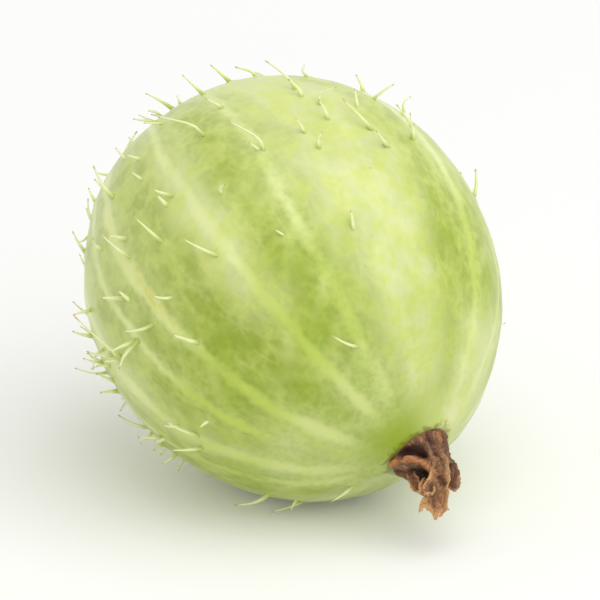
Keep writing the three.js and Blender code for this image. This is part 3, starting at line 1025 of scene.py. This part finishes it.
def withered(name, tones, shift, greyness, pieces):
    """Dry papery tissue in three tones, from the painted shade of the hollows to the pale tone of the crests,
    which is partly wear and partly painted highlight. Shift moves a whole piece towards its pale tone, and
    greyness is how much its grey specks cover."""
    material, tree = new_material(name)
    place = add(tree, "TexCoord", out="Object")
    crest = add(tree, "Attribute", out="Fac", attribute_name="crest")
    weft = add(tree, "Attribute", out="Vector", attribute_name="weft")
    per_mm = (1 / FIBRE_GAP, 1 / FIBRE_LENGTH, 1)
    lengthwise = add(tree, "Mapping", {"Vector": weft, "Scale": per_mm})
    fibres = add(tree, "TexNoise", {"Vector": lengthwise, "Scale": 1, "Detail": 3})
    blotches = add(tree, "TexNoise", {"Vector": place, "Scale": 1 / (BLOTCH * MM), "Detail": 3})
    specks = add(tree, "TexNoise", {"Vector": place, "Scale": 1 / (SPECK * MM), "Detail": 2})
    height = add(tree, inputs=[blotches, 0.7, crest], **TIMES_PLUS)
    height = add(tree, "Math", [height, shift], operation="ADD")
    # specks and fibres mostly hidden where the height is low, under the hollows' painted shade
    showing = add(tree, inputs=[height, 0.5, 0.9, 0.15, 1], **SMOOTH)
    over = [
        (add(tree, inputs=[specks, 0.5, 0.36, 0, 0.6], **SMOOTH), "#935335"),
        (add(tree, inputs=[specks, 0.52, 0.66, 0, greyness], **SMOOTH), "#a8977a"),
        (add(tree, inputs=[fibres, 0.52, 0.68, 0, 0.6], **SMOOTH), "#a08c6c"),
    ]
    coats = [
        (add(tree, inputs=[height, 0.35, 0.85, 0, 1], **SMOOTH), tones[1]),
        (add(tree, inputs=[height, 0.8, 1.2, 0, 1], **SMOOTH), tones[2]),
        *[(add(tree, inputs=[covering, showing], **TIMES), coat) for covering, coat in over],
    ]
    tone = tones[0]
    for covering, coat in coats:
        tone = add(tree, inputs={0: covering, 6: tone, 7: coat}, **COAT)
    ridges = add(tree, inputs=[specks, 0.6, fibres], **TIMES_PLUS)
    bump = add(tree, "Bump", {"Height": ridges, "Strength": 0.7, "Distance": 0.06 * MM})
    paper = {"Base Color": tone, "Normal": bump, "Roughness": 0.82, "IOR": 1.45}
    cover(material, add(tree, "BsdfPrincipled", paper), *pieces)


# Tones: the painted shade of the hollows, the middle tone, and the crests' pale tone, partly wear and partly
# painted highlight.
withered("withered_tube_tissue", ("#3a1f14", "#684530", "#c07a48"), 0.02, 0.45, [floral_tube])
withered("withered_sepal_tissue", ("#50301f", "#966a45", "#dba66e"), 0.12, 0.6, sepals)
withered("dried_style_tissue", ("#4a2a1e", "#93643f", "#c9935f"), 0.1, 0.5, [style])

# %% [markdown]
# ## The stalk's stump
# The stalk breaks off near the berry. What is left is a short fibrous peg in the dimple, green at its foot
# and dry and torn at its end. It is a turned outline with ribs, and its last rings are made jagged.

# %% Make the stump
STUMP_RINGS, STUMP_STEPS = 60, 96
# Outline: (radius, height) from under the skin to the torn end; heights grow towards the flower.
STUMP_OUTLINE = [
    (0.1, 0.3), (0.85, 0.25), (0.74, -0.05), (0.56, -0.4), (0.52, -0.85), (0.5, -1.05), (0.38, -1.14),
    (0.12, -1.02),
]
around, radius, level = turned(STUMP_OUTLINE, STUMP_RINGS, STUMP_STEPS)
ribbed = radius * (1 + 0.07 * (1 - 2 * np.abs(np.sin(4 * around + 0.5 * level))))
peg = stacked(ribbed * np.sin(around), level, ribbed * np.cos(around))
peg[..., 1] += rise(-level, 0.8, 1.1) * 0.16 * waves(peg * np.array([1, 0.3, 1]), 0.35, 71)
peg = peg + 0.02 * waves(peg, 0.35, 72)[..., None]
peg[..., 1] += DIMPLE_DEPTH - half_length
stump_fields = {"weft": stacked(around * 0.6, level, 0), "dryness": rise(-level, 0.35, 1.0) + 0 * around}
stump = closed_skin("stalk_stump_fibrous", to_row(peg), stump_fields)

# %% [markdown]
# ## Stalk tissue
# A young stalk is green bark over white wood fibres. Its fibres show as fine streaks that run lengthwise,
# about 0.1 mm apart, and the torn end has dried to straw and brown.

# %% The stump's material
STREAK_GAP, STREAK_LENGTH = 0.11, 0.8  # mm
stalk_material, tree = new_material("stalk_tissue")
dryness = add(tree, "Attribute", out="Fac", attribute_name="dryness")
weft = add(tree, "Attribute", out="Vector", attribute_name="weft")
per_mm = (1 / STREAK_GAP, 1 / STREAK_LENGTH, 1)
lengthwise = add(tree, "Mapping", {"Vector": weft, "Scale": per_mm})
streaks = add(tree, "TexNoise", {"Vector": lengthwise, "Scale": 1, "Detail": 3})
streaked = add(tree, inputs=[streaks, 0.35, 0.65, 0, 1], **SMOOTH)
bark = add(tree, inputs={0: streaked, 6: "#7f9140", 7: "#b3bd74"}, **COAT)
dried = add(tree, inputs={0: streaked, 6: "#6b4a2c", 7: "#c8ac7a"}, **COAT)
fibrous = {
    "Base Color": add(tree, inputs={0: dryness, 6: bark, 7: dried}, **COAT),
    "Normal": add(tree, "Bump", {"Height": streaks, "Strength": 0.6, "Distance": 0.05 * MM}),
    "Roughness": 0.7,
    "IOR": 1.45,
}
cover(stalk_material, add(tree, "BsdfPrincipled", fibrous), stump)

# %% [markdown]
# ## Each piece takes its CAD solid's place
# A berry has no joints, so everything rides on the one body. Each new piece is listed with the CAD node
# that it stands for, which is hidden, and one of the record's finishes, which nothing here uses. The bristles
# stand for no solid: they are only here.

# %% Ride and replace
stands_for = [
    (berry, "berry", "skin"),
    (floral_tube, "floral_tube", "floral_tube"),
    (style, "style", "style"),
    (stump, "stalk_stump", "stalk"),
    *[(sepal, f"sepal_{number}", "sepal") for number, sepal in enumerate(sepals, 1)],
]
for piece, node, finish in stands_for:
    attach(piece, "root")
    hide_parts(node)
    print(piece.name, "stands for", node)
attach(bristles, "root")

# %% [markdown]
# ## The stage
# A plain pale floor carries the soft shadow. Where the camera or a reflection sees it, it glows a little, and
# turns to pure white away from the berry, where the white world takes over, so there is no horizon line. The
# light that it throws back at the berry is that of plain matt paint.

# %% The floor
FLOOR_HALF = 800  # mm
FADE_START, FADE_END = 25 * MM, 140 * MM  # where the floor starts to whiten, and where it is white
FLOOR_GLOW = 0.09


def seen_directly(tree):
    """1 for what the camera sees, also by way of a mirror or a clear body, and 0 for light on the berry: the
    largest of the three marks that a ray carries."""
    camera_ray, glossy_ray, clear_ray = (
        add(tree, "LightPath", out=out) for out in ("Is Camera Ray", "Is Glossy Ray", "Is Transmission Ray")
    )
    either = add(tree, "Math", [camera_ray, glossy_ray], operation="MAXIMUM")
    return add(tree, "Math", [either, clear_ray], operation="MAXIMUM")


corners = FLOOR_HALF * np.array([(-1, -1, 0), (1, -1, 0), (1, 1, 0), (-1, 1, 0)])
floor = new_piece("floor", corners, [(0, 1, 2, 3)], {})
floor_material, tree = new_material("pale_floor")
place = add(tree, "TexCoord", out="Object")
far_off = add(tree, "VectorMath", [place], "Value", operation="LENGTH")
seen = seen_directly(tree)
fade = add(tree, inputs=[far_off, FADE_START, FADE_END, 0, 1], **SMOOTH)
matt = add(tree, "BsdfDiffuse", {"Color": "#f2f2f0"})
glow = add(tree, "Emission", {"Strength": add(tree, inputs=[seen, FLOOR_GLOW], **TIMES)})
near_by = add(tree, "AddShader", [matt, glow])
white = add(tree, "Emission", {"Strength": 1})
whitened = add(tree, inputs=[seen, fade], **TIMES)
cover(floor_material, add(tree, "MixShader", [whitened, near_by, white]), floor)
floor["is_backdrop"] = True

# %% [markdown]
# ## Light
# Broad, soft studio light, as in a white tent. Most of it comes from the world, which is brighter low down
# than overhead, and one large lamp, above and a little to the right, gives the skin its wide, gentle
# highlight. The level is plain: a surface that faces the light shows about the colour that it was given.

# %% World and lamp
LOW_LIGHT, HIGH_LIGHT = 1.0, 0.6  # the world's strength below the horizon, and overhead
LAMP_TOWARDS = Vector((0.5, 0.08, 0.86)).normalized()
LAMP_DISTANCE, LAMP_SIZE, LAMP_WATTS = 0.35, 0.42, 0.8  # metres, metres, watts
world = bpy.data.worlds.new("studio")
bpy.context.scene.world = world
world.use_nodes = True
tree = world.node_tree
tree.nodes.clear()
looking = add(tree, "TexCoord", out="Generated")
upwards = add(tree, "SeparateXYZ", [looking], "Z")
dome = add(tree, inputs=[upwards, -0.2, 0.9, LOW_LIGHT, HIGH_LIGHT], **SMOOTH)
level = add(tree, "Mix", {0: seen_directly(tree), 2: dome, 3: 1.0})
sky = add(tree, "Background", {"Color": "#ffffff", "Strength": level})
add(tree, "OutputWorld", {"Surface": sky})

lamp = bpy.data.lights.new("overhead_softbox", "AREA")
lamp.size = LAMP_SIZE
lamp.energy = LAMP_WATTS
softbox = bpy.data.objects.new("overhead_softbox", lamp)
softbox.location = Vector(berry_centre * MM) + LAMP_TOWARDS * LAMP_DISTANCE
softbox.rotation_euler = LAMP_TOWARDS.to_track_quat("Z", "Y").to_euler()
softbox.visible_camera = False
bpy.context.scene.collection.objects.link(softbox)
print("lamp at, in mm:", [round(x / MM) for x in softbox.location])

# %% [markdown]
# ## Camera
# A long lens from a little above the table, 22 degrees, and 51 degrees round from the front, so that the
# withered flower hangs at the lower right. The distance follows from the lens and the width of the view.

# %% The camera
AZIMUTH, ELEVATION = np.radians(51.5), np.radians(22.3)
LENS, SENSOR = 400.0, 36.0
VIEW_WIDTH = 34.0  # mm, at the berry
AIM_RIGHT, AIM_DOWN = 0.3 * MM, 0.6 * MM  # off the berry's middle
level_back = Vector((np.sin(AZIMUTH), -np.cos(AZIMUTH), 0))
back = level_back * np.cos(ELEVATION) + Vector((0, 0, np.sin(ELEVATION)))
right = Vector((np.cos(AZIMUTH), np.sin(AZIMUTH), 0))
aim = Vector(berry_centre * MM) + right * AIM_RIGHT - back.cross(right) * AIM_DOWN
lens = bpy.data.cameras.new("camera")
lens.lens = LENS
lens.sensor_width = SENSOR
lens.clip_start = 0.01
camera = bpy.data.objects.new("camera", lens)
camera.location = aim + back * (VIEW_WIDTH * MM * LENS / SENSOR)
camera.rotation_euler = back.to_track_quat("Z", "Y").to_euler()
bpy.context.scene.collection.objects.link(camera)
bpy.context.scene.camera = camera
bpy.context.scene.view_settings.view_transform = "Standard"
print("camera's distance in mm:", round(VIEW_WIDTH * LENS / SENSOR))

# %% Print the two boxes and finish
seen_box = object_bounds()
for name, (low, high) in (("CAD box", cad_box), ("visual box", seen_box)):
    print(name, "in mm:", [round(x / MM, 2) for x in low], [round(x / MM, 2) for x in high])
